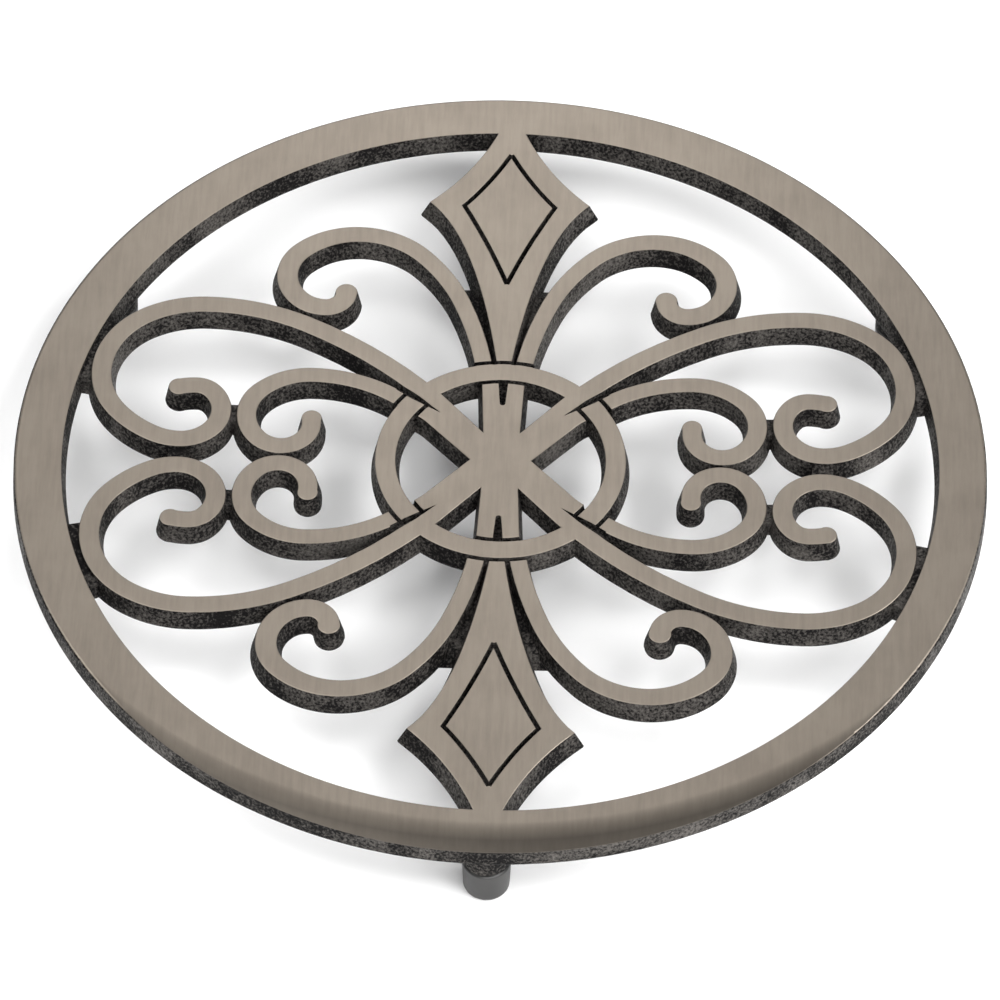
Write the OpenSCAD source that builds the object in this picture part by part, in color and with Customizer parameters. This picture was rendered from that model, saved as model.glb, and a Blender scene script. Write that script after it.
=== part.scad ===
// Round scrollwork trivet: one iron casting on three rubber feet.
// The origin is on the table under the centre, +Z is up and the front foot is towards -Y.

/* [Overall] */
// Outside diameter of the rim
trivet_d = 203.4; // [190:0.2:230]
// Height of the ground top face above the table
total_h = 18; // [16:0.5:24]
// Thickness of the cast grille
plate_t = 5.5; // [4.5:0.1:6.5]
// How far the walls stand out, at the mean of their draft, from the edges of the top faces
wall_flare = 0.4; // [0:0.1:0.6]

/* [Rim] */
// Width of the rim's top, seen from above
rim_w = 10.2; // [9:0.1:13]
// Width of the rim's flat ground band, from its inner edge
rim_flat_w = 5.5; // [4:0.5:8]
// Fall of the rim's top towards its outer edge
rim_fall = 0.5; // [0.2:0.1:2]
// Radius of the rim's rounded outer edges, above and below
rim_edge_r = 0.8; // [0.4:0.1:1.2]

/* [Ring and cross] */
// Inner radius of the centre ring
ring_in_r = 21.9; // [21:0.1:23]
// Width of the centre ring
ring_w = 4.3; // [3.8:0.1:5]
// Width of the cross's upright bar at the ring
upright_w = 9; // [8:0.1:10]
// Width of the upright bar at its waist
upright_waist_w = 7.8; // [7:0.1:9]
// Width of the notch between the upright's two prongs, at the ring
notch_w = 2.2; // [1.6:0.1:3]
// Width of the notch at its round end
notch_end_w = 1.2; // [0.8:0.1:1.6]
// Length of the notch
notch_l = 7; // [5:0.5:9]

/* [Scrolls] */
// Width of the large side scrolls' bar
big_w = 4.2; // [3.6:0.1:5]
// Width of the small side scrolls' bar at the root
small_root_w = 3.6; // [3:0.1:4.2]
// Width of the small side scrolls' bar past the root
small_w = 4.1; // [3.6:0.1:4.8]
// Width of the stalk scrolls' bar at the root
stalk_root_w = 3.6; // [3:0.1:4.2]
// Width of the stalk scrolls' bar past the root
stalk_w = 4.5; // [3.8:0.1:5]

/* [Lance] */
// Width of the lance's neck at the rim
neck_w = 6; // [4:0.1:8]
// Width of the lance's foot at the ring
lance_foot_w = 3; // [2:0.1:4]

/* [Grooves and webs] */
// Width of the lines cut across the bars
groove_w = 1; // [0.6:0.1:1.4]
// Width of the diamond line on each lance
diamond_w = 1; // [0.7:0.1:1.8]
// Depth of the lines
groove_depth = 1.8; // [0.8:0.1:2.4]
// Depth of the channels between each lance and its stalk scrolls
channel_depth = 2.6; // [1.5:0.1:3.4]
// How far the webs at the scrolls' contacts lie below the top face
web_drop = 0.9; // [0.4:0.1:1.6]
// Width of the webs where two scrolls meet
contact_web_w = 4.4; // [3:0.1:6]

/* [Bosses and feet] */
// How far each cast boss hangs below the grille
boss_drop = 3.2; // [2:0.1:4]
// How far a boss stays inside both edges of the rim
boss_inset = 0.1; // [0.1:0.1:0.5]
// Diameter of the blind hole for a foot's stem
bore_d = 5; // [4:0.1:6]
// Depth of the blind hole
bore_depth = 5; // [4:0.1:6]
// Diameter of a rubber foot at its lip
foot_d = 10; // [9:0.1:11]
// Diameter of a rubber foot where it starts to round under
foot_low_d = 9.5; // [8:0.1:10]
// Radius of the rounded edge under a foot
foot_round_r = 1.2; // [0.5:0.1:2]
// Radius of the rounded lip at the top of a foot
lip_r = 0.7; // [0.4:0.1:1]
// Diameter of a foot's neck, pressed against the boss
neck_d = 8; // [6.5:0.1:8.4]
// Height of the neck
neck_h = 0.6; // [0.4:0.1:1.2]
// Clearance round the stem in its hole
stem_gap = 0.05; // [0:0.01:0.1]
// Clearance above the stem's end
stem_end_gap = 0.4; // [0.2:0.1:1]

/* [Hidden] */

$fn = 96;
iron_colour = [0.62, 0.58, 0.54];
rubber_colour = [0.24, 0.23, 0.22];

// Overrun of every cut and of every bar into what it joins
over = 1;
// Turn of one straight step along a curved bar, in degrees
arc_step = 7.5;
// Turn of one straight step round a scroll's tip, in degrees
cap_step = 15;
// Steps along a curved flank of a lance
flank_steps = 8;

rim_r = trivet_d / 2;
field_r = rim_r - rim_w;
ring_out_r = ring_in_r + ring_w;
under_z = total_h - plate_t;
boss_z = under_z - boss_drop;
boss_r = rim_w / 2 - boss_inset;
foot_circle_r = field_r + rim_w / 2;

// Directions of the three feet, from +X
front_turn = 270;
back_left_turn = 150;
back_right_turn = 30;

// Each scroll's line, for the quarter where X and Y are positive.
// A row is a radius, or a straight length, as a share of field_r, and a turn in degrees.
big_start_share = [0, 0];
big_heading = 48.2;
big_line_shares = [
    [0.224, 0], [0.656, -5.2], [1.07, -17.5], [0.535, -26], [0.262, -29.5],
    [0.201, -60], [0.18, -40], [0.262, -25], [0.135, -25], [0.094, -45],
    [0.086, -45], [0.081, -45], [0.052, -45], [0.153, -15]
];
small_start_share = [0.043, 0];
small_heading = 46.5;
small_line_shares = [
    [0.164, 0], [0.153, -14], [0.078, 0], [0.35, -32.5], [0.165, -45],
    [0.102, -90], [0.073, -45], [0.068, -90], [0.016, 0]
];
stalk_start_share = [0.043, 0.262];
stalk_heading = 81.3;
stalk_line_shares = [
    [0.874, -14.3], [0.437, -22], [0.213, -45], [0.189, -45], [0.103, -90],
    [0.0875, -45], [0.047, -90]
];
// Share of a scroll's length over which its bar swells from the root width
swell_share = 0.35;

// Places along a lance and its line, as shares of field_r
lance_tip_share = [0.187, 0.779];
upper_flank_share = [0.098, 0.88];
lower_flank_share = [0.088, 0.605];
diamond_top_share = [0, 0.933];
diamond_side_share = [0.106, 0.77];
diamond_foot_share = [0, 0.53];
diamond_upper_share = [0.051, 0.844];
diamond_lower_share = [0.049, 0.652];
// Distance of a channel's outer end from the centre, as a share of field_r
channel_end_share = 0.515;

// Wedge groove along the large scroll at the ring, as shares of ring_out_r
wedge_line_shares = [
    [0.49, 0.473], [0.64, 0.56], [0.74, 0.62], [0.857, 0.705], [0.828, 0.765], [0.668, 0.642]
];

// Directions that bound the lines cut across the bars, from +X
top_line_from = 74;
small_line_from = 27;
small_line_to = 42;
stub_line_from = 31;
stub_line_to = 43;
// Directions that bound the web between a large scroll and the rim
rim_web_from = 12.5;
rim_web_to = 23.3;
// Places where scrolls meet, as shares of field_r: a small scroll with its large one,
// two small ones, two large ones, and a stalk scroll with the large one below it
contact_shares = [[0.617, 0.126], [0.5, 0], [0.735, 0], [0.465, 0.43]];

function reverse(list) = [for (i = [len(list) - 1 : -1 : 0]) list[i]];
function flip_x(list) = [for (p = list) [-p[0], p[1]]];

// A route is a list of [x, y, heading].
function straight(p, l) = [[p[0] + l * cos(p[2]), p[1] + l * sin(p[2]), p[2]]];
function arc(p, r, turn) =
    let (n = ceil(abs(turn) / arc_step), s = sign(turn))
    [for (i = [1 : n])
        let (h = p[2] + turn * i / n)
        [p[0] + s * r * (sin(h) - sin(p[2])), p[1] - s * r * (cos(h) - cos(p[2])), h]];
function leg(p, row) = row[1] == 0
    ? straight(p, row[0] * field_r)
    : arc(p, row[0] * field_r, row[1]);
function legs(p, rows, i = 0) = i == len(rows)
    ? []
    : let (q = leg(p, rows[i])) concat(q, legs(q[len(q) - 1], rows, i + 1));
function route(start_share, heading, rows) =
    let (p = [start_share[0] * field_r, start_share[1] * field_r, heading])
    concat([p], legs(p, rows));

function width_at(i, n, root_w, bar_w) =
    root_w + (bar_w - root_w) * min(1, i / n / swell_share);
function side_of(line, root_w, bar_w, side) =
    [for (i = [0 : len(line) - 1])
        let (p = line[i], w = side * (width_at(i, len(line) - 1, root_w, bar_w) / 2 + wall_flare))
        [p[0] - w * sin(p[2]), p[1] + w * cos(p[2])]];

// A curve from a through b to c, without its first point
function bend(a, b, c) =
    [for (i = [1 : flank_steps])
        let (t = i / flank_steps)
        (1 - t) * (1 - 2 * t) * a + 4 * t * (1 - t) * b + t * (2 * t - 1) * c];

// The points of a line moved square to it, to its left where by is positive
function beside(line, by) =
    let (n = len(line) - 1)
    [for (i = [0 : n])
        let (
            before = line[i] - line[max(0, i - 1)],
            after = line[min(n, i + 1)] - line[i],
            a = i == 0 ? after : before,
            b = i == n ? before : after,
            lean = [-a[1], a[0]] / norm(a) + [-b[1], b[0]] / norm(b)
        )
        line[i] + 2 * by * lean / (lean * lean)];

big_line = route(big_start_share, big_heading, big_line_shares);
small_line = route(small_start_share, small_heading, small_line_shares);
stalk_line = route(stalk_start_share, stalk_heading, stalk_line_shares);

module quarters() {
    for (turn_x = [0, 1])
        for (turn_y = [0, 1])
            mirror([turn_x, 0, 0])
                mirror([0, turn_y, 0])
                    children();
}

module scroll_bar(line, root_w, bar_w) {
    tip = line[len(line) - 1];
    cap = [for (a = [90 - cap_step : -cap_step : cap_step - 90])
        [tip[0], tip[1]] + (bar_w / 2 + wall_flare) * [cos(tip[2] + a), sin(tip[2] + a)]];
    left = side_of(line, root_w, bar_w, 1);
    right = side_of(line, root_w, bar_w, -1);
    linear_extrude(plate_t)
        polygon(concat(left, cap, reverse(right)));
}

module lance() {
    neck = [neck_w / 2, field_r];
    foot = [lance_foot_w / 2, ring_out_r - over];
    upper = bend(neck, upper_flank_share * field_r, lance_tip_share * field_r);
    lower = bend(lance_tip_share * field_r, lower_flank_share * field_r, foot);
    flank = beside(concat([neck], upper, lower), wall_flare);
    half = concat([flank[0] + [0, over]], flank);
    linear_extrude(plate_t)
        polygon(concat(half, reverse(flip_x(half))));
}

// The upright has a waist and ends against the ring.
module upright() {
    waist_x = upright_waist_w / 2 + wall_flare;
    end_x = upright_w / 2 + wall_flare;
    half = [
        [waist_x, 0],
        [waist_x, ring_in_r - 2 * notch_l],
        [end_x, ring_in_r - groove_w],
        [end_x, ring_in_r + over]
    ];
    linear_extrude(plate_t)
        polygon(concat(half, reverse(flip_x(half))));
}

// The notch between the prongs, as far as the ring
module notch() {
    end_y = ring_in_r - notch_l + notch_end_w / 2;
    linear_extrude(channel_depth + over)
        polygon([
            [-notch_end_w / 2, end_y],
            [notch_end_w / 2, end_y],
            [notch_w / 2, ring_in_r],
            [-notch_w / 2, ring_in_r]
        ]);
    translate([0, end_y, 0])
        cylinder(d = notch_end_w, h = channel_depth + over);
}

module ring() {
    rotate_extrude()
        translate([ring_in_r - wall_flare, 0])
            square([ring_w + 2 * wall_flare, plate_t]);
}

// The floor of a channel beside a lance, as far as the stalk scroll's middle
module channel_floor() {
    edge = [for (p = stalk_line) if (p[1] < channel_end_share * field_r && p[2] > 0) [p[0], p[1]]];
    end_y = edge[len(edge) - 1][1];
    linear_extrude(plate_t - channel_depth)
        polygon(concat([[-over, edge[0][1]]], edge, [[-over, end_y]]));
}

module contact_webs() {
    for (place = contact_shares * field_r)
        translate([place[0] - contact_web_w / 2, place[1] - contact_web_w / 2, 0])
            cube([contact_web_w, contact_web_w, plate_t - web_drop]);
}

// The web between a large scroll and the rim
module rim_web() {
    reach = max([for (p = big_line) norm([p[0], p[1]])]);
    rotate_extrude(angle = rim_web_to - rim_web_from, start = rim_web_from)
        translate([reach, 0])
            square([field_r - reach + over, plate_t - web_drop]);
}

// A line cut along a circle, from its outer edge inwards
module line_arc(out_r, from, to) {
    rotate_extrude(angle = to - from, start = from)
        translate([out_r - groove_w, 0])
            square([groove_w, groove_depth + over]);
}

module stroke(points, w) {
    n = len(points) - 1;
    lean = [for (i = [0 : n])
        let (d = points[min(n, i + 1)] - points[max(0, i - 1)]) [-d[1], d[0]] / norm(d)];
    linear_extrude(groove_depth + over)
        polygon(concat(
            [for (i = [0 : n]) points[i] + lean[i] * w / 2],
            [for (i = [n : -1 : 0]) points[i] - lean[i] * w / 2]
        ));
}

module diamond() {
    top = diamond_top_share * field_r;
    side = diamond_side_share * field_r;
    foot = diamond_foot_share * field_r;
    upper = bend(top, diamond_upper_share * field_r, side);
    lower = bend(side, diamond_lower_share * field_r, foot);
    stroke(concat([top], upper, lower), diamond_w);
}

module wedge() {
    linear_extrude(groove_depth + over)
        polygon(wedge_line_shares * ring_out_r);
}

module quarter_grooves() {
    diamond();
    wedge();
    line_arc(ring_out_r + groove_w, small_line_from, small_line_to);
    line_arc(ring_in_r, stub_line_from, stub_line_to);
    line_arc(ring_out_r + groove_w, top_line_from, 90 + cap_step);
    line_arc(ring_in_r, top_line_from, 90 + cap_step);
}

// All that lies inside the rim, for the quarter where X and Y are positive
module quarter_grille() {
    difference() {
        intersection() {
            union() {
                ring();
                scroll_bar(big_line, big_w, big_w);
                scroll_bar(small_line, small_root_w, small_w);
                scroll_bar(stalk_line, stalk_root_w, stalk_w);
                lance();
                upright();
                channel_floor();
                contact_webs();
                rim_web();
            }
            translate([0, 0, -over])
                cube([rim_r, rim_r, plate_t + 2 * over]);
        }
        translate([0, 0, plate_t - groove_depth])
            quarter_grooves();
        translate([0, 0, plate_t - channel_depth])
            notch();
    }
}

// The rim's section: flat on top, then falling a little to its rounded outer edges
module rim() {
    roll_w = rim_w - rim_flat_w - rim_edge_r;
    edge_z = total_h - rim_fall - rim_edge_r;
    rolled = [for (i = [0 : flank_steps])
        let (t = i / flank_steps)
        [field_r + rim_flat_w + roll_w * t, total_h - rim_fall * t * t]];
    upper_edge = [for (a = [90 - cap_step : -cap_step : 0])
        [rim_r - rim_edge_r + rim_edge_r * cos(a), edge_z + rim_edge_r * sin(a)]];
    lower_edge = [for (a = [0 : cap_step : 90])
        [rim_r - rim_edge_r + rim_edge_r * cos(a), under_z + rim_edge_r - rim_edge_r * sin(a)]];
    inner_r = field_r - wall_flare;
    rotate_extrude()
        polygon(concat([[inner_r, under_z], [inner_r, total_h]], rolled, upper_edge, lower_edge));
}

module boss(turn) {
    rotate([0, 0, turn])
        translate([foot_circle_r, 0, boss_z])
            cylinder(r = boss_r, h = boss_drop + plate_t / 2);
}

module bore(turn) {
    rotate([0, 0, turn])
        translate([foot_circle_r, 0, boss_z - over])
            cylinder(d = bore_d, h = bore_depth + over);
}

module cast_grille() {
    foot_turns = [front_turn, back_left_turn, back_right_turn];
    color(iron_colour)
        difference() {
            union() {
                rim();
                translate([0, 0, under_z])
                    quarters() quarter_grille();
                for (turn = foot_turns) boss(turn);
            }
            for (turn = foot_turns) bore(turn);
        }
}

// A foot turned from its axis outwards: head, lip, neck and stem
module rubber_foot(turn) {
    round_steps = 6;
    low_r = foot_low_d / 2;
    head_h = boss_z - neck_h;
    under = [for (i = [0 : round_steps])
        let (a = 90 * i / round_steps)
        [low_r - foot_round_r + foot_round_r * sin(a), foot_round_r - foot_round_r * cos(a)]];
    lip = [for (i = [0 : round_steps])
        let (a = 90 * i / round_steps)
        [foot_d / 2 - lip_r + lip_r * cos(a), head_h - lip_r + lip_r * sin(a)]];
    stem_r = bore_d / 2 - stem_gap;
    stem_top = boss_z + bore_depth - stem_end_gap;
    color(rubber_colour)
        rotate([0, 0, turn])
            translate([foot_circle_r, 0, 0])
                rotate_extrude()
                    polygon(concat(
                        [[0, 0]], under, lip,
                        [
                            [neck_d / 2, head_h], [neck_d / 2, boss_z],
                            [stem_r, boss_z], [stem_r, stem_top], [0, stem_top]
                        ]
                    ));
}

module foot_front() rubber_foot(front_turn);
module foot_back_left() rubber_foot(back_left_turn);
module foot_back_right() rubber_foot(back_right_turn);

cast_grille();
foot_front();
foot_back_left();
foot_back_right();
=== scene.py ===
"""Round scrollwork trivet: one iron casting, ground bare on top, on three rubber feet."""

from math import ceil, cos, pi, radians, sin

import bmesh
import bpy
from mathutils import Matrix, Vector


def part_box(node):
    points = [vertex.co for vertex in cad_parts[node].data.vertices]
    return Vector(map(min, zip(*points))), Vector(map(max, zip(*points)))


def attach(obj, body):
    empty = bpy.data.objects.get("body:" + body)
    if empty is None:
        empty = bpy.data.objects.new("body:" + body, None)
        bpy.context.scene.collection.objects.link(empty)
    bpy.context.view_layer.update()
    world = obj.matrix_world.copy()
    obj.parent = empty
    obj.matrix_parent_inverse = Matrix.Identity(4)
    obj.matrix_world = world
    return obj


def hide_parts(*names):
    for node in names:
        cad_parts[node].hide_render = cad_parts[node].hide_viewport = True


bl_info = {
    "name": "Scrollwork trivet",
    "version": (1, 0, 0),
    "blender": (4, 5, 0),
    "location": "View3D > Sidebar > Trivet",
    "description": "Models a cast scrollwork trivet over its packed frame",
    "category": "Add Mesh",
}

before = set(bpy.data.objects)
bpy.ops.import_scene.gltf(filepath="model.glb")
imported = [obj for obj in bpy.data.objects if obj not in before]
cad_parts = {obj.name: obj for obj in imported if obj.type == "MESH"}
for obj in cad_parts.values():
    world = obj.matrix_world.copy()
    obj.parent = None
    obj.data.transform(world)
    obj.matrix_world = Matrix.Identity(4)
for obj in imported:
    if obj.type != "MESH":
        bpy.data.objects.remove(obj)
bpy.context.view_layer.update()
MM = 0.001

GRILLE_LOW, GRILLE_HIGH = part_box("cast_grille")
FOOT_LOW, FOOT_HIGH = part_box("foot_front")
TOP_Z = GRILLE_HIGH[2]
BOSS_Z = GRILLE_LOW[2]
RIM_RADIUS = min(GRILLE_HIGH[0], GRILLE_HIGH[1])
FOOT_CIRCLE = -(FOOT_LOW[1] + FOOT_HIGH[1]) / 2

# How far a cutter runs past what it cuts, and a part into what it joins
OVER = 1 * MM
INTO = 2 * MM
# Height of the upright land at a wall's widest place
LAND = 0.1 * MM
# Points closer than this are one
MERGE = 0.002 * MM
# Turn of one step along a bar, in degrees, and the steps of the other curves
BAR_STEP = 3.0
RIM_STEPS = 240
ROUND_STEPS = 48
FLANK_STEPS = 14
FOOT_EDGE_STEPS = 8
# Directions of the points round a wall's top edge, its lower edge and the rim's outer edge
TOP_EDGE_TURNS = (90, 45, 0)
LOW_EDGE_TURNS = (0, 22.5, 45, 67.5, 90)
RIM_EDGE_TURNS = (90, 60, 30, 0)
# A face whose normal has more Z than this is level
LEVEL = 0.9999
# Edges that turn by more than this stay sharp, in degrees
SHARP_ANGLE = 35

# A row is a radius, or a straight length, as a share of the field's radius, and a turn in degrees
BIG_START_SHARE = (0, 0)
BIG_HEADING = 48.2
BIG_SHARES = (
    (0.224, 0), (0.656, -5.2), (1.07, -17.5), (0.535, -26), (0.262, -29.5),
    (0.201, -60), (0.18, -40), (0.262, -25), (0.135, -25), (0.094, -45),
    (0.086, -45), (0.081, -45), (0.052, -45), (0.153, -15),
)
SMALL_START_SHARE = (0.043, 0)
SMALL_HEADING = 46.5
SMALL_SHARES = (
    (0.164, 0), (0.153, -14), (0.078, 0), (0.35, -32.5), (0.165, -45),
    (0.102, -90), (0.073, -45), (0.068, -90), (0.016, 0),
)
STALK_START_SHARE = (0.043, 0.262)
STALK_HEADING = 81.3
STALK_SHARES = (
    (0.874, -14.3), (0.437, -22), (0.213, -45), (0.189, -45), (0.103, -90),
    (0.0875, -45), (0.047, -90),
)
# Share of a scroll's length over which its bar swells from the root width
SWELL_SHARE = 0.35
# A scroll's tip is a little wider than its bar
TIP_SWELL = 1.04

# Places along a lance and its diamond line, as shares of the field's radius
LANCE_TIP_SHARE = (0.187, 0.779)
UPPER_FLANK_SHARE = (0.098, 0.88)
LOWER_FLANK_SHARE = (0.088, 0.605)
DIAMOND_TOP_SHARE = (0, 0.933)
DIAMOND_SIDE_SHARE = (0.106, 0.77)
DIAMOND_FOOT_SHARE = (0, 0.53)
DIAMOND_UPPER_SHARE = (0.051, 0.844)
DIAMOND_LOWER_SHARE = (0.049, 0.652)
CHANNEL_END_SHARE = 0.515
CHANNEL_LOW_END_SHARE = 0.56
CONTACT_SHARES = ((0.617, 0.126), (0.5, 0), (0.735, 0), (0.465, 0.43))

# Corners of the wedge groove, as shares of the ring's outer radius
WEDGE_SHARES = (
    (0.49, 0.473), (0.64, 0.56), (0.74, 0.62), (0.857, 0.705), (0.828, 0.765), (0.668, 0.642),
)

# Directions that bound the ring's quarter, the lines and the rim's web, in degrees from +X
RING_SPAN = (-5, 95)
TOP_LINE = (74, 92)
SMALL_LINE = (27, 42)
STUB_LINE = (31, 43)
RIM_WEB = (12.5, 23.3)

FOOT_TURNS = {"foot_front": 270, "foot_back_left": 150, "foot_back_right": 30}


def linear(hex_colour):
    """A linear colour from an sRGB hex value."""
    parts = [int(hex_colour[i:i + 2], 16) / 255 for i in (0, 2, 4)]
    return tuple(c / 12.92 if c <= 0.04045 else ((c + 0.055) / 1.055) ** 2.4 for c in parts)


def length(name, description, default_mm):
    """A length property whose default is given in millimetres."""
    return bpy.props.FloatProperty(
        name=name, description=description, default=default_mm * MM,
        min=0, subtype="DISTANCE", unit="LENGTH", precision=5)


def colour(name, description, hex_colour):
    """A colour property whose default is an sRGB hex value."""
    return bpy.props.FloatVectorProperty(
        name=name, description=description, default=linear(hex_colour),
        size=3, min=0, max=1, subtype="COLOR")


class TrivetSizes(bpy.types.PropertyGroup):
    """Lengths of the trivet, in metres"""
    plate_t: length("Grille thickness", "Thickness of the cast grille", 5.5)
    rim_w: length("Rim width", "Width of the rim's top, seen from above", 10.2)
    worn_r: length("Level face", "Radius inside which the rim's ground face is level", 111.5)
    worn_shift: length("Level face shift", "How far that circle lies towards the back", 17)
    worn_fall: length("Worn fall", "Fall of the rim's top at its front edge", 1.05)
    rim_edge_r: length("Rim edge", "Radius of the rim's outer edge above", 0.6)
    rim_flare: length("Rim flare", "How far the rim's outer wall stands out, low down", 0.2)
    wall_flare: length("Wall flare", "How far the cast walls stand out, low down", 0.8)
    lance_flare: length("Lance flare", "How far the lances' walls stand out, low down", 1.3)
    wall_low_r: length("Wall rounding", "Radius of the castings' lower edges", 1.2)
    top_edge_r: length("Top edge", "Radius of the worn edge of the ground faces", 0.15)
    ring_in_r: length("Ring radius", "Inner radius of the centre ring", 21.9)
    ring_w: length("Ring width", "Width of the centre ring", 4.3)
    upright_w: length("Upright", "Width of the cross's upright at the ring", 9)
    upright_waist_w: length("Upright waist", "Width of the upright at its waist", 7.8)
    notch_w: length("Notch width", "Width of the notch between the prongs", 2.2)
    notch_end_w: length("Notch end", "Width of the notch at its round end", 1.2)
    notch_l: length("Notch length", "Length of the notch between the prongs", 7)
    big_w: length("Large scroll bar", "Width of the large scrolls' bar", 4.2)
    small_root_w: length("Small scroll root", "Width of the small scrolls' root", 3.6)
    small_w: length("Small scroll bar", "Width of the small scrolls' bar", 4.1)
    stalk_root_w: length("Stalk root", "Width of the stalk scrolls' root", 3.6)
    stalk_w: length("Stalk bar", "Width of the stalk scrolls' bar", 4.5)
    neck_w: length("Lance neck", "Width of a lance's neck at the rim", 6)
    lance_foot_w: length("Lance foot", "Width of a lance's foot at the ring", 3)
    groove_w: length("Line width", "Width of the lines cut across the bars", 1)
    diamond_w: length("Diamond line", "Width of the diamond line on each lance", 1)
    groove_depth: length("Line depth", "Depth of the lines", 1.8)
    channel_depth: length("Channel depth", "Depth of the channels beside a lance", 2.6)
    web_drop: length("Web drop", "How far the webs lie below the top", 0.9)
    contact_web_w: length("Contact web", "Width of the webs where scrolls meet", 4.4)
    groove_lip: length("Line lip", "Width of the slope at the lines' upper edges", 0.03)
    boss_inset: length("Boss inset", "How far a boss stays inside the rim's edges", 0.1)
    bore_d: length("Foot hole", "Diameter of the blind hole for a foot's stem", 5)
    bore_depth: length("Hole depth", "Depth of the blind hole", 5)
    foot_d: length("Foot", "Diameter of a rubber foot at its lip", 10)
    foot_low_d: length("Foot end", "Diameter of a foot where it rounds under", 9.5)
    foot_round_r: length("Foot rounding", "Radius of the edge under a foot", 1.2)
    lip_r: length("Lip", "Radius of the rounded lip at a foot's top", 0.7)
    neck_d: length("Foot neck", "Diameter of a foot's neck", 8)
    foot_neck_h: length("Neck height", "Height of a foot's neck", 0.6)
    stem_gap: length("Stem gap", "Clearance round the stem", 0.05)
    stem_end_gap: length("Stem end gap", "Clearance above the stem's end", 0.4)


class TrivetColours(bpy.types.PropertyGroup):
    """Colours of the trivet and the floor"""
    ground: colour("Ground iron", "Bare iron of the ground top faces", "91887D")
    ground_dark: colour("Ground iron, dark", "Duller streaks in the ground iron", "867D73")
    # Painted shade: this colour darkens the rim's front band, towards its outer edge
    shaded_band: colour("Worn band", "Skimmed iron at the rim's front edge", "2E2C29")
    cast: colour("Cast iron", "Walls left as cast", "080707")
    # Painted glint: the lighter colour of the walls' grains, which are also made metallic
    cast_light: colour("Cast iron, glint", "Grains that catch the light", "66625E")
    rubber: colour("Rubber", "Moulded rubber of the feet", "161514")
    floor: colour("Floor", "Table under the trivet", "FFFFFF")


def sizes():
    """The sizes shown in the panel."""
    return bpy.context.scene.trivet_sizes


def field_r():
    """Inner radius of the rim, which the pattern's shares follow."""
    return RIM_RADIUS - sizes().rim_w


def at_field(share):
    """The place that a pair of shares of the field's radius stands for."""
    return Vector((share[0] * field_r(), share[1] * field_r()))


# Routes


def route(start_share, heading, rows):
    """Steps along a scroll's line: (centre of the turn or None, turn, end point, heading)."""
    place = at_field(start_share)
    steps = [(None, 0, place.copy(), heading)]
    for share, turn in rows:
        reach = share * field_r()
        if turn == 0:
            place = place + reach * Vector((cos(radians(heading)), sin(radians(heading))))
            steps.append((None, 0, place.copy(), heading))
            continue
        side = 1 if turn > 0 else -1
        count = ceil(abs(turn) / BAR_STEP)
        centre = place + side * reach * Vector((-sin(radians(heading)), cos(radians(heading))))
        for _ in range(count):
            heading += turn / count
            place = centre - side * reach * Vector((-sin(radians(heading)), cos(radians(heading))))
            steps.append((centre, turn / count, place.copy(), heading))
    return steps


def bend(a, b, c):
    """A curve from a through b to c, without its first point."""
    points = []
    for i in range(1, FLANK_STEPS + 1):
        t = i / FLANK_STEPS
        points.append((1 - t) * (1 - 2 * t) * Vector(a) + 4 * t * (1 - t) * Vector(b)
                      + t * (2 * t - 1) * Vector(c))
    return points


def beside(line, by):
    """The points of a line moved square to it, to its left where by is positive."""
    moved = []
    for i, point in enumerate(line):
        after = (line[i + 1] - point if i + 1 < len(line) else point - line[i - 1]).normalized()
        before = (point - line[i - 1]).normalized() if i else after
        lean = Vector((-before.y - after.y, before.x + after.x))
        moved.append(point + 2 * by * lean / lean.length_squared)
    return moved


def wall_steps(flare=None):
    """The cast wall's section: how far each point stands out from the top's edge, and its depth."""
    s = sizes()
    flare = flare or s.wall_flare
    steps = []
    for a in TOP_EDGE_TURNS:
        steps.append((s.top_edge_r * (cos(radians(a)) - 1), s.top_edge_r * (1 - sin(radians(a)))))
    low = s.plate_t - s.wall_low_r
    steps.append((flare, low - LAND))
    for a in LOW_EDGE_TURNS:
        inwards = s.wall_low_r * (1 - cos(radians(a)))
        steps.append((flare - inwards, low + s.wall_low_r * sin(radians(a))))
    return steps


# Modelling


def deselect():
    """Leaves edit mode and selects nothing."""
    if bpy.context.object and bpy.context.object.mode != "OBJECT":
        bpy.ops.object.mode_set(mode="OBJECT")
    bpy.ops.object.select_all(action="DESELECT")


def pick(piece):
    """Selects one piece alone and makes it active."""
    deselect()
    piece.select_set(True)
    bpy.context.view_layer.objects.active = piece


def select_faces(piece, test):
    """In edit mode, selects the faces whose centre and normal pass a test."""
    bpy.ops.mesh.select_mode(type="FACE")
    bpy.ops.mesh.select_all(action="DESELECT")
    mesh = bmesh.from_edit_mesh(piece.data)
    for face in mesh.faces:
        face.select = test(face.calc_center_median(), face.normal)
    mesh.select_flush_mode()
    bmesh.update_edit_mesh(piece.data)


def close_up(name):
    """Merges doubles, turns all faces outwards and leaves edit mode."""
    bpy.ops.mesh.select_all(action="SELECT")
    bpy.ops.mesh.remove_doubles(threshold=MERGE)
    bpy.ops.mesh.normals_make_consistent(inside=False)
    bpy.ops.object.mode_set(mode="OBJECT")
    piece = bpy.context.object
    bpy.ops.object.transform_apply(location=True, rotation=True, scale=True)
    piece.name = name
    return piece


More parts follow.
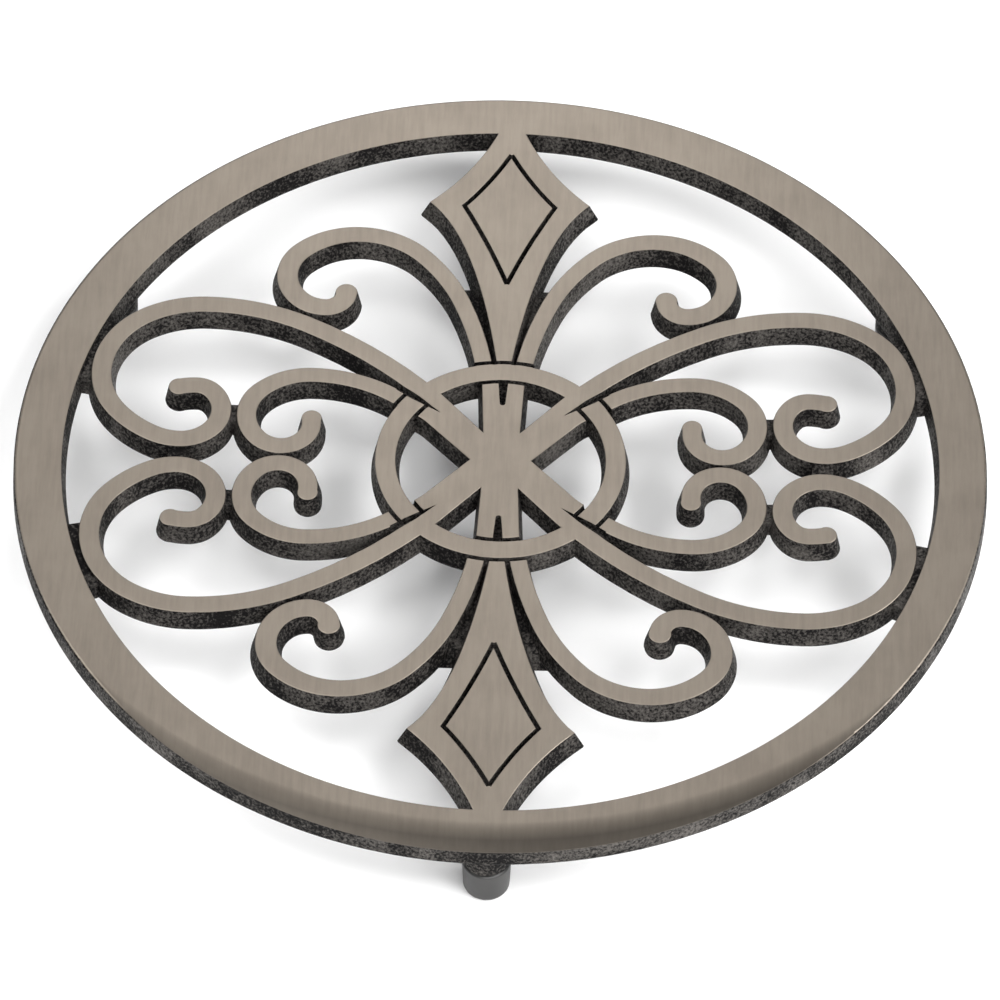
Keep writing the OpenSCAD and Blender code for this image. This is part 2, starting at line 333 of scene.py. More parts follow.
def trace(points, filled=True):
    """In edit mode, one vertex is drawn out along the points, and the outline may be filled."""
    deselect()
    bpy.ops.mesh.primitive_plane_add(size=MM, location=points[0])
    bpy.ops.object.transform_apply(location=True, rotation=False, scale=False)
    bpy.ops.object.mode_set(mode="EDIT")
    bpy.ops.mesh.select_mode(type="VERT")
    bpy.ops.mesh.select_all(action="SELECT")
    bpy.ops.mesh.merge(type="CENTER")
    for before, after in zip(points, points[1:]):
        bpy.ops.mesh.extrude_region_move(TRANSFORM_OT_translate={"value": Vector(after) - Vector(before)})
    bpy.ops.mesh.select_all(action="SELECT")
    if filled:
        bpy.ops.mesh.edge_face_add()


def prism(name, outline, low_z, high_z):
    """A flat outline, drawn at its lower level and extruded up."""
    trace([(p[0], p[1], low_z) for p in outline])
    bpy.ops.mesh.extrude_region_move(TRANSFORM_OT_translate={"value": (0, 0, high_z - low_z)})
    return close_up(name)


def turned(name, section, steps, turn_from=0, turn_to=360):
    """A section of (radius, height) points spun about Z, as a line for a full turn."""
    points = [(r * cos(radians(turn_from)), r * sin(radians(turn_from)), z) for r, z in section]
    full = turn_to - turn_from == 360
    if full and section[0][0] > 0:
        points.append(points[0])
    trace(points, filled=not full)
    bpy.ops.mesh.spin(
        steps=steps, angle=-radians(turn_to - turn_from), center=(0, 0, 0), axis=(0, 0, 1))
    return close_up(name)


def swept_bar(name, steps, root_w, bar_w):
    """A bar: its end section is spun from turn to turn, widened as it goes, and tipped round."""
    _, _, place, heading = steps[0]
    across = Vector((-sin(radians(heading)), cos(radians(heading))))
    side = [(root_w / 2 + out, TOP_Z - down) for out, down in wall_steps()]
    section = side + [(-x, z) for x, z in reversed(side)]
    trace([(*(place + across * x), z) for x, z in section])
    bpy.ops.mesh.select_all(action="SELECT")
    width = root_w
    for i, (centre, turn, place, heading) in enumerate(steps[1:], 1):
        if centre is None:
            step = place - steps[i - 1][2]
            bpy.ops.mesh.extrude_region_move(TRANSFORM_OT_translate={"value": (*step, 0)})
        else:
            bpy.ops.mesh.spin(
                steps=1, angle=-radians(turn), center=(*centre, 0), axis=(0, 0, 1))
        wanted = root_w + (bar_w - root_w) * min(1, i / (len(steps) - 1) / SWELL_SHARE)
        if wanted > width:
            grow = wanted / width
            bpy.ops.transform.resize(value=(grow, grow, 1), center_override=(*place, 0))
            width = wanted
    bar = close_up(name)
    tip_r = bar_w / 2 * TIP_SWELL
    tip_side = [(tip_r + out, TOP_Z - down) for out, down in wall_steps()]
    tip = turned("tip", [(0, TOP_Z), *tip_side, (0, tip_side[-1][1])], ROUND_STEPS)
    move(tip, steps[-1][2])
    combine(bar, tip, "UNION")
    return bar


def move(piece, place):
    """Moves a piece level and applies the move."""
    pick(piece)
    bpy.ops.transform.translate(value=(place[0], place[1], 0))
    bpy.ops.object.transform_apply(location=True, rotation=True, scale=True)


def cast_block(name, outline, flare):
    """A block with cast walls: its widest outline is extruded a little, then inset up and down."""
    steps = wall_steps(flare)
    high, low = [i for i, (out, _) in enumerate(steps) if out == flare]
    trace([(*p, TOP_Z - steps[high][1]) for p in outline])
    drop = steps[high][1] - steps[low][1]
    bpy.ops.mesh.extrude_region_move(TRANSFORM_OT_translate={"value": (0, 0, drop)})
    bpy.ops.mesh.select_all(action="SELECT")
    bpy.ops.mesh.normals_make_consistent(inside=False)
    piece = bpy.context.object
    for side, rest in ((1, steps[high::-1]), (-1, steps[low:])):
        select_faces(piece, lambda place, normal: normal.z * side > LEVEL)
        for before, after in zip(rest, rest[1:]):
            bpy.ops.mesh.inset(thickness=before[0] - after[0], depth=abs(after[1] - before[1]))
    return close_up(name)


def closed(piece):
    """Whether every edge of a piece has just two faces."""
    mesh = bmesh.new()
    mesh.from_mesh(piece.data)
    sound = mesh.faces and all(edge.is_manifold for edge in mesh.edges)
    mesh.free()
    return sound


def combine(piece, other, operation):
    """Joins other to piece, or cuts it out, and removes other."""
    if not closed(other):
        raise RuntimeError(f"{other.name} is not closed")
    pick(piece)
    boolean = piece.modifiers.new(operation.lower(), "BOOLEAN")
    boolean.operation = operation
    boolean.solver = "MANIFOLD"
    boolean.object = other
    bpy.ops.object.modifier_apply(modifier=boolean.name)
    if not closed(piece):
        raise RuntimeError(f"{other.name} could not be joined to or cut from {piece.name}")
    bpy.data.objects.remove(other, do_unlink=True)


def tidy_up(piece):
    """Merges the doubled points that joining leaves."""
    pick(piece)
    bpy.ops.object.mode_set(mode="EDIT")
    close_up(piece.name)


def dress(piece, node, material):
    """Puts a finished piece in the place of its CAD node."""
    piece.data.materials.clear()
    piece.data.materials.append(material)
    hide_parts(node)
    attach(piece, "root")


# Parts of the casting's quarter


def half_lance():
    """A lance's right half, from the rim to the ring."""
    s = sizes()
    neck = Vector((s.neck_w / 2, field_r()))
    foot = Vector((s.lance_foot_w / 2, s.ring_in_r + s.ring_w))
    tip = at_field(LANCE_TIP_SHARE)
    flank = [neck] + bend(neck, at_field(UPPER_FLANK_SHARE), tip)
    flank += bend(tip, at_field(LOWER_FLANK_SHARE), foot)
    flank = beside(flank, s.lance_flare)
    top_y = field_r() + INTO
    foot_y = foot.y - INTO
    outline = [Vector((-INTO, top_y)), Vector((flank[0].x, top_y)), *flank]
    outline += [Vector((flank[-1].x, foot_y)), Vector((-INTO, foot_y))]
    return cast_block("lance", outline, s.lance_flare)


def half_upright():
    """The right half of the cross's upright, narrower at its waist."""
    s = sizes()
    waist_x = s.upright_waist_w / 2 + s.wall_flare
    end_x = s.upright_w / 2 + s.wall_flare
    return cast_block("upright", [
        (-INTO, -INTO), (waist_x, -INTO), (waist_x, s.ring_in_r - 2 * s.notch_l),
        (end_x, s.ring_in_r - s.groove_w), (end_x, s.ring_in_r + INTO), (-INTO, s.ring_in_r + INTO),
    ], s.wall_flare)


def quarter_ring():
    """A little more than a quarter of the centre ring."""
    s = sizes()
    inner = [(s.ring_in_r - out, TOP_Z - down) for out, down in wall_steps()]
    outer = [(s.ring_in_r + s.ring_w + out, TOP_Z - down) for out, down in wall_steps()]
    return turned("ring", inner + outer[::-1], ROUND_STEPS, *RING_SPAN)


def channel_floor(steps):
    """The web between a lance and its stalk, whose end slopes down away from the ring."""
    s = sizes()
    low_z, high_z = TOP_Z - s.plate_t, TOP_Z - s.channel_depth
    end, low_end = CHANNEL_END_SHARE * field_r(), CHANNEL_LOW_END_SHARE * field_r()
    edge = [p for _, _, p, heading in steps if p.y < low_end + INTO and heading > 0]
    outline = [(-OVER, edge[0].y)] + [tuple(p) for p in edge] + [(-OVER, edge[-1].y)]
    piece = prism("channel_floor", outline, low_z, high_z)
    pick(piece)
    bpy.ops.object.mode_set(mode="EDIT")
    bpy.ops.mesh.select_all(action="SELECT")
    outwards = Vector((0, high_z - low_z, low_end - end)).normalized()
    bpy.ops.mesh.bisect(
        plane_co=(0, end, high_z), plane_no=outwards, use_fill=True, clear_outer=True,
        threshold=MERGE)
    return close_up("channel_floor")


def contact_web(place):
    """The small web where two scrolls touch."""
    s = sizes()
    half = s.contact_web_w / 2
    corners = ((-half, -half), (half, -half), (half, half), (-half, half))
    outline = [(place.x + x, place.y + y) for x, y in corners]
    return prism("contact_web", outline, TOP_Z - s.plate_t, TOP_Z - s.web_drop)


def rim_web(reach):
    """The web between a large scroll and the rim."""
    s = sizes()
    low_z, high_z = TOP_Z - s.plate_t, TOP_Z - s.web_drop
    far = field_r() + OVER
    section = [(reach, low_z), (far, low_z), (far, high_z), (reach, high_z)]
    return turned("rim_web", section, ROUND_STEPS // 2, *RIM_WEB)


def line_cut(out_r, bounds):
    """A line along a circle, from its outer edge inwards, with sloped lips."""
    s = sizes()
    low_z, lip = TOP_Z - s.groove_depth, s.groove_lip
    in_r = out_r - s.groove_w
    section = [
        (in_r, low_z), (out_r, low_z), (out_r, TOP_Z - lip), (out_r + lip, TOP_Z),
        (out_r + lip, TOP_Z + OVER), (in_r - lip, TOP_Z + OVER), (in_r - lip, TOP_Z),
        (in_r, TOP_Z - lip),
    ]
    return turned("line", section, ROUND_STEPS // 2, *bounds)


def diamond_cut():
    """The diamond line: extruded down to the top face, inset for its lips and extruded on."""
    s = sizes()
    top, side = at_field(DIAMOND_TOP_SHARE), at_field(DIAMOND_SIDE_SHARE)
    foot = at_field(DIAMOND_FOOT_SHARE)
    line = [top] + bend(top, at_field(DIAMOND_UPPER_SHARE), side)
    line += bend(side, at_field(DIAMOND_LOWER_SHARE), foot)
    half = s.diamond_w / 2 + s.groove_lip
    trace([(*p, TOP_Z + OVER) for p in beside(line, half) + beside(line, -half)[::-1]])
    bpy.ops.mesh.extrude_region_move(TRANSFORM_OT_translate={"value": (0, 0, -OVER)})
    bpy.ops.mesh.select_all(action="SELECT")
    bpy.ops.mesh.normals_make_consistent(inside=False)
    select_faces(bpy.context.object, lambda place, normal: normal.z < -LEVEL)
    bpy.ops.mesh.inset(thickness=s.groove_lip, depth=s.groove_lip)
    drop = s.groove_depth - s.groove_lip
    bpy.ops.mesh.extrude_region_move(TRANSFORM_OT_translate={"value": (0, 0, -drop)})
    return close_up("diamond")


def notch_cut():
    """Half the notch between the upright's prongs, round at its inner end."""
    s = sizes()
    end_r = s.notch_end_w / 2
    end_y = s.ring_in_r - s.notch_l + end_r
    outline = [(-OVER, end_y - end_r)]
    for i in range(FLANK_STEPS + 1):
        a = pi / 2 * i / FLANK_STEPS
        outline.append((end_r * sin(a), end_y - end_r * cos(a)))
    outline += [(s.notch_w / 2, s.ring_in_r), (-OVER, s.ring_in_r)]
    return prism("notch", outline, TOP_Z - s.channel_depth, TOP_Z + OVER)


def wedge_cut():
    """The tapering groove between the large and the small scroll at the ring."""
    s = sizes()
    ring_out_r = s.ring_in_r + s.ring_w
    outline = [(x * ring_out_r, y * ring_out_r) for x, y in WEDGE_SHARES]
    return prism("wedge", outline, TOP_Z - s.groove_depth, TOP_Z + OVER)


def quarter_grille():
    """All that lies inside the rim where X and Y are positive, with its grooves."""
    s = sizes()
    big = route(BIG_START_SHARE, BIG_HEADING, BIG_SHARES)
    small = route(SMALL_START_SHARE, SMALL_HEADING, SMALL_SHARES)
    stalk = route(STALK_START_SHARE, STALK_HEADING, STALK_SHARES)
    piece = quarter_ring()
    parts = [
        swept_bar("big_scroll", big, s.big_w, s.big_w),
        swept_bar("small_scroll", small, s.small_root_w, s.small_w),
        swept_bar("stalk_scroll", stalk, s.stalk_root_w, s.stalk_w),
        half_lance(),
        half_upright(),
        channel_floor(stalk),
        rim_web(max(place.length for _, _, place, _ in big)),
    ]
    parts += [contact_web(at_field(share)) for share in CONTACT_SHARES]
    for part in parts:
        combine(piece, part, "UNION")
    ring_out_r = s.ring_in_r + s.ring_w
    cutters = [
        wedge_cut(),
        notch_cut(),
        diamond_cut(),
        line_cut(ring_out_r + s.groove_w, SMALL_LINE),
        line_cut(s.ring_in_r, STUB_LINE),
        line_cut(ring_out_r + s.groove_w, TOP_LINE),
        line_cut(s.ring_in_r, TOP_LINE),
    ]
    for cutter in cutters:
        combine(piece, cutter, "DIFFERENCE")
    return piece


def mirror_quarter(piece):
    """Cuts the quarter off square at X and Y zero and joins its mirror images to it."""
    half = (GRILLE_HIGH[0] + OVER) / 2
    deselect()
    bpy.ops.mesh.primitive_cube_add(size=2 * half, location=(half, half, half))
    bpy.ops.object.transform_apply(location=True, rotation=True, scale=True)
    combine(piece, bpy.context.object, "INTERSECT")
    for axis in ((True, False, False), (False, True, False)):
        pick(piece)
        bpy.ops.object.duplicate()
        bpy.ops.transform.mirror(constraint_axis=axis, orient_type="GLOBAL")
        bpy.ops.object.transform_apply(location=True, rotation=True, scale=True)
        bpy.ops.object.mode_set(mode="EDIT")
        combine(piece, close_up("mirrored"), "UNION")


def worn_reach():
    """How far the worn part of the rim's top reaches at the front, where it is widest."""
    s = sizes()
    return RIM_RADIUS - s.worn_r + s.worn_shift


def rim_ring():
    """The rim; the wheel that ground it level took more off its front edge."""
    s = sizes()
    edge_r, low_r = s.rim_edge_r, s.wall_low_r
    wall_r = RIM_RADIUS - s.rim_flare
    low_z = TOP_Z - s.plate_t
    section = [(field_r() - out, TOP_Z - down) for out, down in wall_steps()][::-1]
    for a in RIM_EDGE_TURNS:
        inwards, down = edge_r * (1 - cos(radians(a))), edge_r * (1 - sin(radians(a)))
        section.append((wall_r - inwards, TOP_Z - down))
    for a in LOW_EDGE_TURNS:
        inwards, up = low_r * (1 - cos(radians(a))), low_r * (1 - sin(radians(a)))
        section.append((RIM_RADIUS - inwards, low_z + up))
    rim = turned("rim", section, RIM_STEPS)
    reach = worn_reach()
    wheel = [(s.worn_r, TOP_Z + OVER)]
    for i in range(FLANK_STEPS + 1):
        t = i / FLANK_STEPS
        wheel.append((s.worn_r + reach * t, TOP_Z - s.worn_fall * t * t))
    wheel.append((s.worn_r + reach, TOP_Z + OVER))
    wheel = turned("wheel", wheel, RIM_STEPS)
    move(wheel, (0, s.worn_shift))
    combine(rim, wheel, "DIFFERENCE")
    return rim


def foot_place(turn):
    """A foot's place under the rim, at a direction in degrees from +X."""
    return Vector((FOOT_CIRCLE * cos(radians(turn)), FOOT_CIRCLE * sin(radians(turn))))


def add_rod(name, place, radius, low_z, high_z):
    """An upright rod, for a boss or a bore."""
    deselect()
    bpy.ops.mesh.primitive_cylinder_add(
        vertices=ROUND_STEPS, radius=radius, depth=high_z - low_z,
        location=(place.x, place.y, (low_z + high_z) / 2))
    bpy.ops.object.transform_apply(location=True, rotation=True, scale=True)
    bpy.context.object.name = name
    return bpy.context.object


class TRIVET_OT_casting(bpy.types.Operator):
    """Model the iron casting: rim, scrolls, lances, ring, cross and bosses"""
    bl_idname = "trivet.casting"
    bl_label = "Casting"

    def execute(self, context):
        s = sizes()
        piece = quarter_grille()
        mirror_quarter(piece)
        combine(piece, rim_ring(), "UNION")
        for turn in FOOT_TURNS.values():
            place = foot_place(turn)
            boss_r = s.rim_w / 2 - s.boss_inset
            boss = add_rod("boss", place, boss_r, BOSS_Z, TOP_Z - s.plate_t / 2)
            combine(piece, boss, "UNION")
            bore = add_rod("bore", place, s.bore_d / 2, BOSS_Z - OVER, BOSS_Z + s.bore_depth)
            combine(piece, bore, "DIFFERENCE")
        tidy_up(piece)
        bpy.ops.object.shade_smooth_by_angle(angle=radians(SHARP_ANGLE))
        # The ground top is flat right up to its worn edges
        bpy.ops.object.mode_set(mode="EDIT")
        select_faces(piece, lambda place, normal: normal.z > LEVEL and place.z > TOP_Z - MERGE)
        bpy.ops.mesh.faces_shade_flat()
        bpy.ops.object.mode_set(mode="OBJECT")
        # Walls keep their own normal, and the soft edges beside them take the turn
        weigh = piece.modifiers.new("weigh", "WEIGHTED_NORMAL")
        weigh.keep_sharp = True
        bpy.ops.object.modifier_apply(modifier=weigh.name)
        piece.name = "scrollwork_casting"
        dress(piece, "cast_grille", ground_iron_material())
        return {"FINISHED"}


class TRIVET_OT_feet(bpy.types.Operator):
    """Turn the three push-in rubber feet"""
    bl_idname = "trivet.feet"
    bl_label = "Rubber feet"

    def execute(self, context):
        s = sizes()
        rubber = rubber_material()
        low_r = s.foot_low_d / 2
        head_z = BOSS_Z - s.foot_neck_h
        turns = [pi / 2 * i / FOOT_EDGE_STEPS for i in range(FOOT_EDGE_STEPS + 1)]
        section = [(0, 0)]
        for a in turns:
            section.append((low_r - s.foot_round_r * (1 - sin(a)), s.foot_round_r * (1 - cos(a))))
        for a in turns:
            section.append((s.foot_d / 2 - s.lip_r * (1 - cos(a)), head_z - s.lip_r * (1 - sin(a))))
        stem_r = s.bore_d / 2 - s.stem_gap
        stem_z = BOSS_Z + s.bore_depth - s.stem_end_gap
        section += [
            (s.neck_d / 2, head_z), (s.neck_d / 2, BOSS_Z),
            (stem_r, BOSS_Z), (stem_r, stem_z), (0, stem_z),
        ]
        for node, turn in FOOT_TURNS.items():
            foot = turned(node.replace("foot", "rubber_foot"), section, ROUND_STEPS)
            move(foot, foot_place(turn))
            bpy.ops.object.shade_smooth_by_angle(angle=radians(SHARP_ANGLE))
            dress(foot, node, rubber)
        return {"FINISHED"}


# Materials

# Cell sizes of the noise patterns
STREAK_CELL = 1.2 * MM
CLOUD_CELL = 14 * MM
SPECK_CELL = 0.9 * MM
GRAIN_CELL = 0.6 * MM
SKIN_CELL = 10 * MM
DUST_CELL = 4 * MM
RUBBER_CELL = 0.4 * MM
# A grinding streak's width as a share of its length
STREAK_SHARE = 0.1
# Moves the skin's pattern, and so the places of its lighter patches
SKIN_SHIFT = (70 * MM, 60 * MM, 0)
# How far the top's bare metal reaches down its edges, and where it is whole
BARE_REACH = 0.1 * MM
BARE_FULL = 0.02 * MM
# Noise from which the ground iron turns light, and at which it is lightest
GROUND_SPAN = (0.35, 0.6)
# The same for the dust on the rubber, and how much lighter dust makes it
DUST_SPAN = (0.35, 0.75)
DUST_LIFT = 1.6
# The same for the walls' grains with a painted glint, a lighter colour on grains that are also metallic,
# and the skin's weight beside the grain's
GLINT_SPAN = (0.72, 1.2)
SKIN_WEIGHT = 0.6
# Share of the front band's reach over which its painted shade deepens, and how dark the painted shade
# gets
BAND_SHADE_REACH = 0.6
BAND_SHADE_MOST = 0.7
# Finish of the iron, as cast and where it is bright
CAST_ROUGHNESS = 0.65
BRIGHT_ROUGHNESS = 0.36
BRIGHT_METALLIC = 0.9
IRON_SPECULAR = 0.08
RUBBER_ROUGHNESS = 0.36
FLOOR_ROUGHNESS = 0.9
# Height of the sand grain, and how much of it is left on the ground top
GRAIN_HEIGHT = 0.2 * MM
GRAIN_LEFT = 0.03
# Height of the rubber's surface, and its strength
RUBBER_HEIGHT = 0.05 * MM
RUBBER_RELIEF = 0.15


def add_node(tree, kind, settings=None, **inputs):
    """A node with its settings, and its inputs set to values or linked to sockets."""
    node = tree.nodes.new(kind)
    for name, value in (settings or {}).items():
        setattr(node, name, value)
    for name, value in inputs.items():
        key = int(name[1:]) if name[0] == "_" and name[1:].isdigit() else name.replace("_", " ")
        socket = node.inputs[key]
        if isinstance(value, bpy.types.NodeSocket):
            tree.links.new(value, socket)
        else:
            socket.default_value = value
    return node


def maths(tree, operation, *values):
    """The result of a maths node on numbers or sockets."""
    inputs = {f"_{i}": value for i, value in enumerate(values)}
    return add_node(tree, "ShaderNodeMath", {"operation": operation}, **inputs).outputs[0]


def noise(tree, vector, cell, detail, roughness=0.5):
    """A noise pattern with cells of a given size."""
    node = add_node(
        tree, "ShaderNodeTexNoise", Vector=vector, Scale=1 / cell, Detail=detail, Roughness=roughness)
    return node.outputs["Fac"]


def span(tree, value, low, high, to_low=0, to_high=1):
    """A value from low to high, mapped to another span and held at its ends."""
    node = add_node(
        tree, "ShaderNodeMapRange", Value=value, From_Min=low, From_Max=high,
        To_Min=to_low, To_Max=to_high)
    return node.outputs[0]


def blend(tree, factor, first, second):
    """The first colour, blended into the second by a factor."""
    node = add_node(
        tree, "ShaderNodeMix", {"data_type": "RGBA"}, Factor=factor, _6=first, _7=second)
    return node.outputs[2]


def ramp(tree, factor, ends, *tints):
    """A ramp between two colours, over the part of the factor between two ends."""
    node = add_node(tree, "ShaderNodeValToRGB", Fac=factor)
    for element, position, tint in zip(node.color_ramp.elements, ends, tints):
        element.position = position
        element.color = (*tint, 1)
    return node.outputs["Color"]


def new_material(name):
    """A material without nodes, and its node tree."""
    material = bpy.data.materials.new(name)
    material.use_nodes = True
    tree = material.node_tree
    tree.nodes.clear()
    return material, tree


def bare_iron(tree, coords):
    """The ground top's colour: a warm grey with grinding streaks and dull clouds."""
    colours = bpy.context.scene.trivet_colours
    # Grinding streaks about 0.6 mm wide and 6 mm long, running from front to back
    stretched = add_node(tree, "ShaderNodeMapping", Vector=coords, Scale=(1, STREAK_SHARE, 1))
    streaks = noise(tree, stretched.outputs[0], STREAK_CELL, detail=3, roughness=0.6)
    # Cloudy patches about 12 mm across, where the iron has dulled
    clouds = noise(tree, coords, CLOUD_CELL, detail=4, roughness=0.6)
    mean = maths(tree, "MULTIPLY", maths(tree, "ADD", streaks, clouds), 0.5)
    return ramp(tree, mean, GROUND_SPAN, colours.ground_dark, colours.ground)


def cast_grains(tree, coords, grain):
    """How much of a painted glint the walls' grains get, a lighter colour on grains that are also
    metallic, more or less by patches about 8 mm across.
    """
    shifted = add_node(tree, "ShaderNodeMapping", Vector=coords, Location=SKIN_SHIFT)
    skin = noise(tree, shifted.outputs[0], SKIN_CELL, detail=2)
    return span(tree, maths(tree, "MULTIPLY_ADD", skin, SKIN_WEIGHT, grain), *GLINT_SPAN)


def ground_faces(tree, coords):
    """Where the iron is ground bare, and how far out on the rim's worn front band a place lies; that band
    is darkened with painted shade.
    """
    s = sizes()
    place = add_node(tree, "ShaderNodeSeparateXYZ", Vector=coords).outputs
    behind = maths(tree, "SUBTRACT", place["Y"], s.worn_shift)
    flat = add_node(tree, "ShaderNodeCombineXYZ", X=place["X"], Y=behind, Z=0)
    radius = add_node(tree, "ShaderNodeVectorMath", {"operation": "LENGTH"}, _0=flat.outputs[0])
    shaded_band = span(tree, radius.outputs["Value"], s.worn_r, s.worn_r + worn_reach())
    # The band's fall is added back, so that it counts as top
    height = maths(tree, "MULTIPLY_ADD", maths(tree, "POWER", shaded_band, 2), s.worn_fall, place["Z"])
    # Pores and specks about 0.5 mm across let the edge of the bare metal wander
    specks = noise(tree, coords, SPECK_CELL, detail=2)
    wander = maths(tree, "MULTIPLY_ADD", specks, BARE_REACH, height)
    top = add_node(
        tree, "ShaderNodeMapRange", {"interpolation_type": "SMOOTHSTEP"}, Value=wander,
        From_Min=TOP_Z - BARE_REACH, From_Max=TOP_Z + BARE_FULL)
    return top.outputs[0], shaded_band


def ground_iron_material():
    """Grey cast iron: walls as the sand left them, near black and grainy, and the top ground bare."""
    material, tree = new_material("cast_iron_ground_on_top")
    colours = bpy.context.scene.trivet_colours
    coords = add_node(tree, "ShaderNodeTexCoord").outputs["Object"]
    # Sand grain about 0.4 mm across
    grain = noise(tree, coords, GRAIN_CELL, detail=3, roughness=0.6)
    glint = cast_grains(tree, coords, grain)
    # Painted glint: the grains' lighter colour is blended into the near-black wall
    wall = blend(tree, glint, (*colours.cast, 1), (*colours.cast_light, 1))
    top, shaded_band = ground_faces(tree, coords)
    # Painted shade: the rim's front band, skimmed at a slant, is darkened towards its outer edge
    band_shade = span(tree, shaded_band, 0, BAND_SHADE_REACH, 0, BAND_SHADE_MOST)
    face = blend(tree, band_shade, bare_iron(tree, coords), (*colours.shaded_band, 1))
    bright = maths(tree, "MAXIMUM", top, glint)
    bump = add_node(
        tree, "ShaderNodeBump", Strength=span(tree, top, 0, 1, 1, GRAIN_LEFT),
        Distance=GRAIN_HEIGHT, Height=grain)
    shader = add_node(
        tree, "ShaderNodeBsdfPrincipled", Base_Color=blend(tree, top, wall, face),
        Metallic=span(tree, bright, 0, 1, 0, BRIGHT_METALLIC),
        Roughness=span(tree, bright, 0, 1, CAST_ROUGHNESS, BRIGHT_ROUGHNESS),
        Specular_IOR_Level=IRON_SPECULAR, Normal=bump.outputs[0])
    add_node(tree, "ShaderNodeOutputMaterial", Surface=shader.outputs[0])
    return material


def rubber_material():
    """Moulded black rubber: satin, with a little dust."""
    material, tree = new_material("moulded_rubber")
    coords = add_node(tree, "ShaderNodeTexCoord").outputs["Object"]
    base = bpy.context.scene.trivet_colours.rubber
    # Bloom and dust in patches about 3 mm across
    dust = noise(tree, coords, DUST_CELL, detail=3)
    tint = ramp(tree, dust, DUST_SPAN, base, [min(1, c * DUST_LIFT) for c in base])
    fine = noise(tree, coords, RUBBER_CELL, detail=2)
    bump = add_node(
        tree, "ShaderNodeBump", Strength=RUBBER_RELIEF, Distance=RUBBER_HEIGHT, Height=fine)
    shader = add_node(
        tree, "ShaderNodeBsdfPrincipled", Base_Color=tint, Roughness=RUBBER_ROUGHNESS,
        Normal=bump.outputs[0])
    add_node(tree, "ShaderNodeOutputMaterial", Surface=shader.outputs[0])
    return material


# Stage

# The camera, as fitted to the photograph: elevation, turn and roll in degrees
CAMERA_ELEVATION = 50.67
CAMERA_TURN = 0.96
CAMERA_ROLL = 0.84
CAMERA_DISTANCE = 1.6557
CAMERA_TARGET = (0.0002, -0.0108)
CAMERA_LENS = 287.0
CAMERA_CLIP = (0.05, 20)
SENSOR = 36
FLOOR_SIZE = 6
WORLD_STRENGTH = 0.22
# Soft light panels, all turned towards the trivet: name, place, width, height and power
PANELS = (
    ("back_panel", (-0.03, 1.25, 1.08), 0.14, 0.92, 2.6),
    ("front_panel", (0.5, -1.45, 0.6), 2, 1.5, 40),
    ("left_panel", (-0.8, -0.1, 1.4), 1.4, 1.4, 18),
    ("right_panel", (1.1, -0.3, 1.1), 1.4, 1.4, 34),
)


def floor_material():
    """A matt white table top, plain."""
    material, tree = new_material("matt_white_laminate")
    colours = bpy.context.scene.trivet_colours
    shader = add_node(
        tree, "ShaderNodeBsdfPrincipled", Base_Color=(*colours.floor, 1),
        Roughness=FLOOR_ROUGHNESS)
    add_node(tree, "ShaderNodeOutputMaterial", Surface=shader.outputs[0])
    return material


def add_camera():
    """The camera at the photograph's view."""
    el, turn, roll = (radians(x) for x in (CAMERA_ELEVATION, CAMERA_TURN, CAMERA_ROLL))
    back = Vector((sin(turn) * cos(el), -cos(turn) * cos(el), sin(el)))
    right = Vector((cos(turn), sin(turn), 0))
    up = back.cross(right)
    right, up = right * cos(roll) + up * sin(roll), up * cos(roll) - right * sin(roll)
    bpy.ops.object.camera_add(location=(0, 0, 0))
    camera = bpy.context.object
    place = Vector((*CAMERA_TARGET, TOP_Z)) + CAMERA_DISTANCE * back
    camera.matrix_world = Matrix.Translation(place) @ Matrix((right, up, back)).transposed().to_4x4()
    camera.data.lens = CAMERA_LENS
    camera.data.sensor_width = SENSOR
    camera.data.clip_start, camera.data.clip_end = CAMERA_CLIP
    bpy.context.scene.camera = camera


def add_panel(name, place, width, height, power):
    """A rectangular soft light panel turned towards the trivet."""
    bpy.ops.object.light_add(type="AREA", location=place)
    lamp = bpy.context.object
    lamp.name = name
    lamp.data.shape = "RECTANGLE"
    lamp.data.size = width
    lamp.data.size_y = height
    lamp.data.energy = power
    lamp.rotation_euler = (-Vector(place)).to_track_quat("-Z", "Y").to_euler()


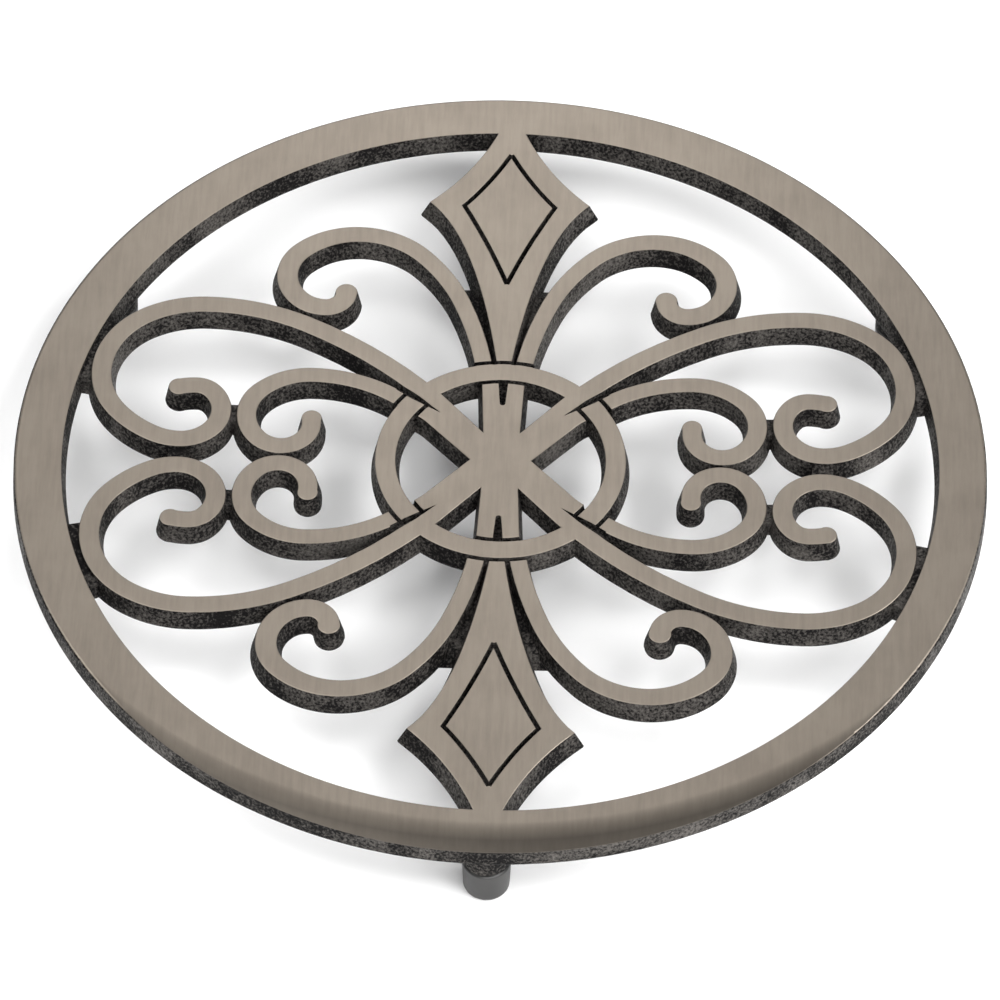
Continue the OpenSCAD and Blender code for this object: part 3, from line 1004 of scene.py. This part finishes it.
class TRIVET_OT_stage(bpy.types.Operator):
    """Add the white floor, the soft lights and the camera"""
    bl_idname = "trivet.stage"
    bl_label = "Stage"

    def execute(self, context):
        deselect()
        bpy.ops.mesh.primitive_plane_add(size=FLOOR_SIZE, location=(0, 0, 0))
        floor = context.object
        floor.name = "floor"
        floor.data.materials.append(floor_material())
        world = bpy.data.worlds.new("studio")
        world.use_nodes = True
        background = world.node_tree.nodes["Background"]
        background.inputs["Color"].default_value = (1, 1, 1, 1)
        background.inputs["Strength"].default_value = WORLD_STRENGTH
        context.scene.world = world
        for panel in PANELS:
            add_panel(*panel)
        add_camera()
        context.scene.view_settings.view_transform = "Standard"
        return {"FINISHED"}


class TRIVET_PT_panel(bpy.types.Panel):
    """Sidebar panel with the steps, the lengths and the colours"""
    bl_label = "Trivet"
    bl_idname = "TRIVET_PT_panel"
    bl_space_type = "VIEW_3D"
    bl_region_type = "UI"
    bl_category = "Trivet"

    def draw(self, context):
        for operator in (TRIVET_OT_casting, TRIVET_OT_feet, TRIVET_OT_stage):
            self.layout.operator(operator.bl_idname)
        for group in (context.scene.trivet_sizes, context.scene.trivet_colours):
            for name in group.bl_rna.properties.keys():
                if name not in {"rna_type", "name"}:
                    self.layout.prop(group, name)


CLASSES = (
    TrivetSizes, TrivetColours, TRIVET_OT_casting, TRIVET_OT_feet, TRIVET_OT_stage, TRIVET_PT_panel,
)


def register():
    """Adds the add-on's classes and its two groups of settings."""
    for cls in CLASSES:
        bpy.utils.register_class(cls)
    bpy.types.Scene.trivet_sizes = bpy.props.PointerProperty(type=TrivetSizes)
    bpy.types.Scene.trivet_colours = bpy.props.PointerProperty(type=TrivetColours)


def unregister():
    """Takes out what register adds."""
    del bpy.types.Scene.trivet_colours
    del bpy.types.Scene.trivet_sizes
    for cls in reversed(CLASSES):
        bpy.utils.unregister_class(cls)


def main():
    """Builds the trivet and its stage."""
    register()
    bpy.ops.trivet.casting()
    bpy.ops.trivet.feet()
    bpy.ops.trivet.stage()


if __name__ == "__main__":
    main()
